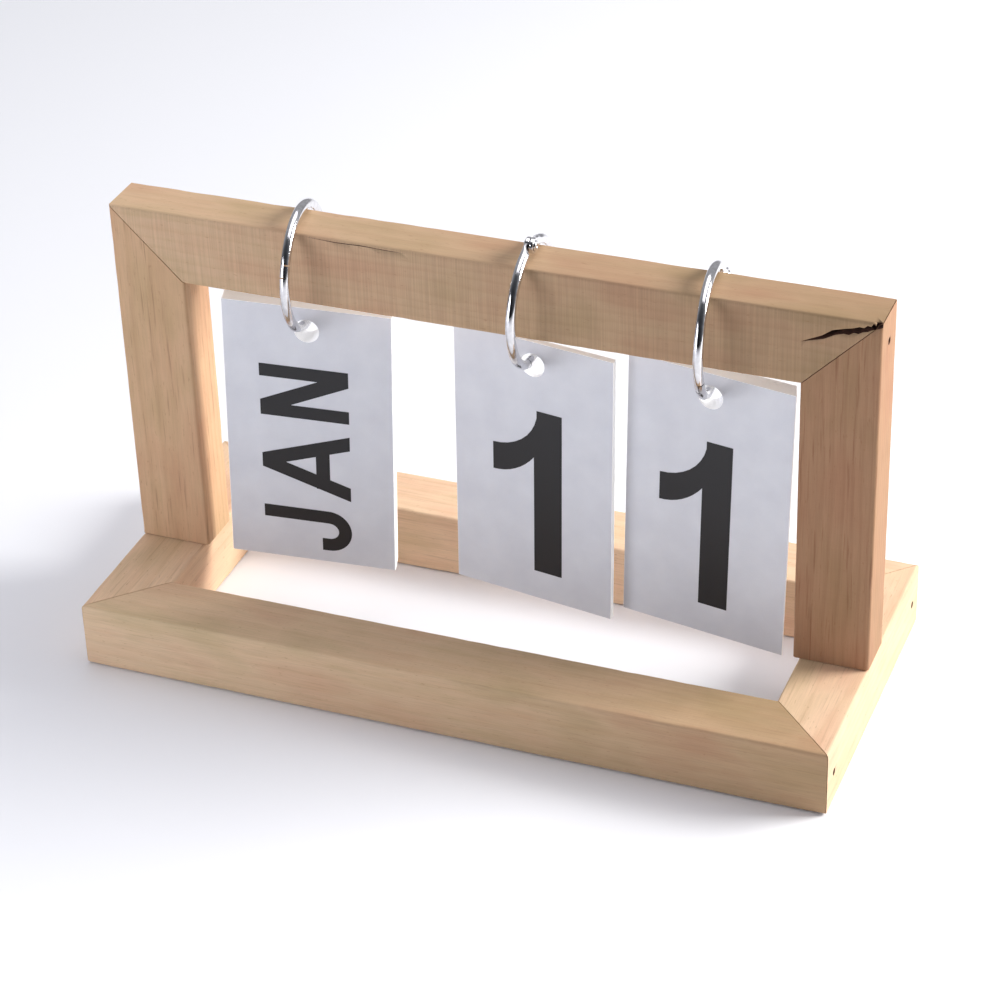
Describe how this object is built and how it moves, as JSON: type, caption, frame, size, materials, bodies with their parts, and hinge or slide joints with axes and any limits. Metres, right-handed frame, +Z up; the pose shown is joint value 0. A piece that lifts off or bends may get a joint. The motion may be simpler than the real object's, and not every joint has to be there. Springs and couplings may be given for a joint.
{
  "type": "flip desk calendar",
  "caption": "Wooden desk calendar stand with three packs of month and date leaves that flip on hinged snap rings round its top rail.",
  "frame": {"origin": "centre of the base footprint, at its underside", "axes": "+X to the right along the rails, +Y to the rear, +Z up; the front faces -Y"},
  "size_m": [0.2, 0.087, 0.1214],
  "materials": {
    "pine": "unfinished planed pine, eased edges",
    "nickel": "bright nickel plate on steel wire",
    "card": "uncoated white card, black print",
    "steel": "plain steel wire nail and screw"
  },
  "bodies": {
    "stand": {"base_front_rail": "pine", "base_rear_rail": "pine", "base_left_rail": "pine", "base_right_rail": "pine", "left_upright": "pine", "right_upright": "pine", "top_rail": "pine", "left_top_brad": "steel", "base_front_left_brad": "steel", "base_rear_left_brad": "steel", "left_foot_screw": "steel", "right_top_brad": "steel", "base_front_right_brad": "steel", "base_rear_right_brad": "steel", "right_foot_screw": "steel"},
    "month_ring": {"month_ring_lower_half": "nickel", "month_ring_rivet": "nickel"},
    "month_ring_gate": {"month_ring_upper_half": "nickel"},
    "month_leaf_01": {"month_leaf_01": "card"},
    "month_leaf_02": {"month_leaf_02": "card"},
    "month_leaf_03": {"month_leaf_03": "card"},
    "month_leaf_04": {"month_leaf_04": "card"},
    "month_leaf_05": {"month_leaf_05": "card"},
    "month_leaf_06": {"month_leaf_06": "card"},
    "month_leaf_07": {"month_leaf_07": "card"},
    "month_leaf_08": {"month_leaf_08": "card"},
    "month_leaf_09": {"month_leaf_09": "card"},
    "month_leaf_10": {"month_leaf_10": "card"},
    "month_leaf_11": {"month_leaf_11": "card"},
    "month_leaf_12": {"month_leaf_12": "card"},
    "tens_ring": {"tens_ring_rear_half": "nickel", "tens_ring_rivet": "nickel"},
    "tens_ring_gate": {"tens_ring_front_half": "nickel"},
    "tens_leaf_01": {"tens_leaf_01": "card"},
    "tens_leaf_02": {"tens_leaf_02": "card"},
    "tens_leaf_03": {"tens_leaf_03": "card"},
    "tens_leaf_04": {"tens_leaf_04": "card"},
    "ones_ring": {"ones_ring_lower_half": "nickel", "ones_ring_rivet": "nickel"},
    "ones_ring_gate": {"ones_ring_upper_half": "nickel"},
    "ones_leaf_01": {"ones_leaf_01": "card"},
    "ones_leaf_02": {"ones_leaf_02": "card"},
    "ones_leaf_03": {"ones_leaf_03": "card"},
    "ones_leaf_04": {"ones_leaf_04": "card"},
    "ones_leaf_05": {"ones_leaf_05": "card"},
    "ones_leaf_06": {"ones_leaf_06": "card"},
    "ones_leaf_07": {"ones_leaf_07": "card"},
    "ones_leaf_08": {"ones_leaf_08": "card"},
    "ones_leaf_09": {"ones_leaf_09": "card"},
    "ones_leaf_10": {"ones_leaf_10": "card"}
  },
  "joints": [
    {"name": "month_front_leaf_lift", "type": "hinge", "parent": "month_ring", "child": "month_leaf_01", "pos_m": [-0.05, -0.0005, 0.1027], "axis": [-1, 0, 0], "range_deg": [0, 100]},
    {"name": "tens_front_leaf_lift", "type": "hinge", "parent": "tens_ring", "child": "tens_leaf_01", "pos_m": [0.0109, -0.0005, 0.10268], "axis": [-1, 0, 0], "range_deg": [0, 100]},
    {"name": "ones_front_leaf_lift", "type": "hinge", "parent": "ones_ring", "child": "ones_leaf_01", "pos_m": [0.0566, -0.0005, 0.10269], "axis": [-1, 0, 0], "range_deg": [0, 100]},
    {"name": "month_rear_fan", "type": "hinge", "parent": "month_ring", "child": "month_leaf_12", "pos_m": [-0.05, -0.0005, 0.1027], "axis": [1, 0, 0], "range_deg": [0, 45]},
    {"name": "tens_rear_fan", "type": "hinge", "parent": "tens_ring", "child": "tens_leaf_04", "pos_m": [0.0109, -0.0005, 0.10268], "axis": [1, 0, 0], "range_deg": [0, 95]},
    {"name": "ones_rear_fan", "type": "hinge", "parent": "ones_ring", "child": "ones_leaf_10", "pos_m": [0.0566, -0.0005, 0.10269], "axis": [1, 0, 0], "range_deg": [0, 95]},
    {"name": "month_ring_open", "type": "hinge", "parent": "month_ring", "child": "month_ring_gate", "pos_m": [-0.05163, 0.01383, 0.09808], "axis": [-0.9936, -0.1132, 0], "range_deg": [0, 75]},
    {"name": "tens_ring_open", "type": "hinge", "parent": "tens_ring", "child": "tens_ring_gate", "pos_m": [0.0109, -0.0005, 0.11943], "axis": [-1, -0.0087, 0], "range_deg": [0, 75]},
    {"name": "ones_ring_open", "type": "hinge", "parent": "ones_ring", "child": "ones_ring_gate", "pos_m": [0.05531, 0.01291, 0.11167], "axis": [-0.9954, -0.0958, 0], "range_deg": [0, 75]},
    {"name": "month_ring_slide", "type": "slide", "parent": "stand", "child": "month_ring", "axis": [1, 0, 0], "range_m": [-0.005, 0.015]},
    {"name": "tens_ring_slide", "type": "slide", "parent": "stand", "child": "tens_ring", "axis": [1, 0, 0], "range_m": [-0.015, 0.0004]},
    {"name": "ones_ring_slide", "type": "slide", "parent": "stand", "child": "ones_ring", "axis": [1, 0, 0], "range_m": [-0.0004, 0.001]},
    {"name": "month_leaf_02_fan", "type": "hinge", "parent": "month_ring", "child": "month_leaf_02", "pos_m": [-0.05, -0.0005, 0.1027], "axis": [1, 0, 0], "range_deg": [0, 4.1]},
    {"name": "month_leaf_03_fan", "type": "hinge", "parent": "month_ring", "child": "month_leaf_03", "pos_m": [-0.05, -0.0005, 0.1027], "axis": [1, 0, 0], "range_deg": [0, 8.19]},
    {"name": "month_leaf_04_fan", "type": "hinge", "parent": "month_ring", "child": "month_leaf_04", "pos_m": [-0.05, -0.0005, 0.1027], "axis": [1, 0, 0], "range_deg": [0, 12.28]},
    {"name": "month_leaf_05_fan", "type": "hinge", "parent": "month_ring", "child": "month_leaf_05", "pos_m": [-0.05, -0.0005, 0.1027], "axis": [1, 0, 0], "range_deg": [0, 16.37]},
    {"name": "month_leaf_06_fan", "type": "hinge", "parent": "month_ring", "child": "month_leaf_06", "pos_m": [-0.05, -0.0005, 0.1027], "axis": [1, 0, 0], "range_deg": [0, 20.46]},
    {"name": "month_leaf_07_fan", "type": "hinge", "parent": "month_ring", "child": "month_leaf_07", "pos_m": [-0.05, -0.0005, 0.1027], "axis": [1, 0, 0], "range_deg": [0, 24.55]},
    {"name": "month_leaf_08_fan", "type": "hinge", "parent": "month_ring", "child": "month_leaf_08", "pos_m": [-0.05, -0.0005, 0.1027], "axis": [1, 0, 0], "range_deg": [0, 28.65]},
    {"name": "month_leaf_09_fan", "type": "hinge", "parent": "month_ring", "child": "month_leaf_09", "pos_m": [-0.05, -0.0005, 0.1027], "axis": [1, 0, 0], "range_deg": [0, 32.74]},
    {"name": "month_leaf_10_fan", "type": "hinge", "parent": "month_ring", "child": "month_leaf_10", "pos_m": [-0.05, -0.0005, 0.1027], "axis": [1, 0, 0], "range_deg": [0, 36.83]},
    {"name": "month_leaf_11_fan", "type": "hinge", "parent": "month_ring", "child": "month_leaf_11", "pos_m": [-0.05, -0.0005, 0.1027], "axis": [1, 0, 0], "range_deg": [0, 40.92]},
    {"name": "tens_leaf_02_fan", "type": "hinge", "parent": "tens_ring", "child": "tens_leaf_02", "pos_m": [0.0109, -0.0005, 0.10268], "axis": [1, 0, 0], "range_deg": [0, 31.68]},
    {"name": "tens_leaf_03_fan", "type": "hinge", "parent": "tens_ring", "child": "tens_leaf_03", "pos_m": [0.0109, -0.0005, 0.10268], "axis": [1, 0, 0], "range_deg": [0, 63.34]},
    {"name": "ones_leaf_02_fan", "type": "hinge", "parent": "ones_ring", "child": "ones_leaf_02", "pos_m": [0.0566, -0.0005, 0.10269], "axis": [1, 0, 0], "range_deg": [0, 10.57]},
    {"name": "ones_leaf_03_fan", "type": "hinge", "parent": "ones_ring", "child": "ones_leaf_03", "pos_m": [0.0566, -0.0005, 0.10269], "axis": [1, 0, 0], "range_deg": [0, 21.12]},
    {"name": "ones_leaf_04_fan", "type": "hinge", "parent": "ones_ring", "child": "ones_leaf_04", "pos_m": [0.0566, -0.0005, 0.10269], "axis": [1, 0, 0], "range_deg": [0, 31.68]},
    {"name": "ones_leaf_05_fan", "type": "hinge", "parent": "ones_ring", "child": "ones_leaf_05", "pos_m": [0.0566, -0.0005, 0.10269], "axis": [1, 0, 0], "range_deg": [0, 42.23]},
    {"name": "ones_leaf_06_fan", "type": "hinge", "parent": "ones_ring", "child": "ones_leaf_06", "pos_m": [0.0566, -0.0005, 0.10269], "axis": [1, 0, 0], "range_deg": [0, 52.79]},
    {"name": "ones_leaf_07_fan", "type": "hinge", "parent": "ones_ring", "child": "ones_leaf_07", "pos_m": [0.0566, -0.0005, 0.10269], "axis": [1, 0, 0], "range_deg": [0, 63.34]},
    {"name": "ones_leaf_08_fan", "type": "hinge", "parent": "ones_ring", "child": "ones_leaf_08", "pos_m": [0.0566, -0.0005, 0.10269], "axis": [1, 0, 0], "range_deg": [0, 73.9]},
    {"name": "ones_leaf_09_fan", "type": "hinge", "parent": "ones_ring", "child": "ones_leaf_09", "pos_m": [0.0566, -0.0005, 0.10269], "axis": [1, 0, 0], "range_deg": [0, 84.45]}
  ],
  "couplings": [
    {"joint": "month_leaf_02_fan", "follows": "month_rear_fan", "ratio": 0.090909},
    {"joint": "month_leaf_03_fan", "follows": "month_rear_fan", "ratio": 0.18182},
    {"joint": "month_leaf_04_fan", "follows": "month_rear_fan", "ratio": 0.27273},
    {"joint": "month_leaf_05_fan", "follows": "month_rear_fan", "ratio": 0.36364},
    {"joint": "month_leaf_06_fan", "follows": "month_rear_fan", "ratio": 0.45454},
    {"joint": "month_leaf_07_fan", "follows": "month_rear_fan", "ratio": 0.54546},
    {"joint": "month_leaf_08_fan", "follows": "month_rear_fan", "ratio": 0.63636},
    {"joint": "month_leaf_09_fan", "follows": "month_rear_fan", "ratio": 0.72727},
    {"joint": "month_leaf_10_fan", "follows": "month_rear_fan", "ratio": 0.81818},
    {"joint": "month_leaf_11_fan", "follows": "month_rear_fan", "ratio": 0.90909},
    {"joint": "tens_leaf_02_fan", "follows": "tens_rear_fan", "ratio": 0.33333},
    {"joint": "tens_leaf_03_fan", "follows": "tens_rear_fan", "ratio": 0.66667},
    {"joint": "ones_leaf_02_fan", "follows": "ones_rear_fan", "ratio": 0.11111},
    {"joint": "ones_leaf_03_fan", "follows": "ones_rear_fan", "ratio": 0.22222},
    {"joint": "ones_leaf_04_fan", "follows": "ones_rear_fan", "ratio": 0.33333},
    {"joint": "ones_leaf_05_fan", "follows": "ones_rear_fan", "ratio": 0.44444},
    {"joint": "ones_leaf_06_fan", "follows": "ones_rear_fan", "ratio": 0.55556},
    {"joint": "ones_leaf_07_fan", "follows": "ones_rear_fan", "ratio": 0.66667},
    {"joint": "ones_leaf_08_fan", "follows": "ones_rear_fan", "ratio": 0.77778},
    {"joint": "ones_leaf_09_fan", "follows": "ones_rear_fan", "ratio": 0.88889}
  ]
}
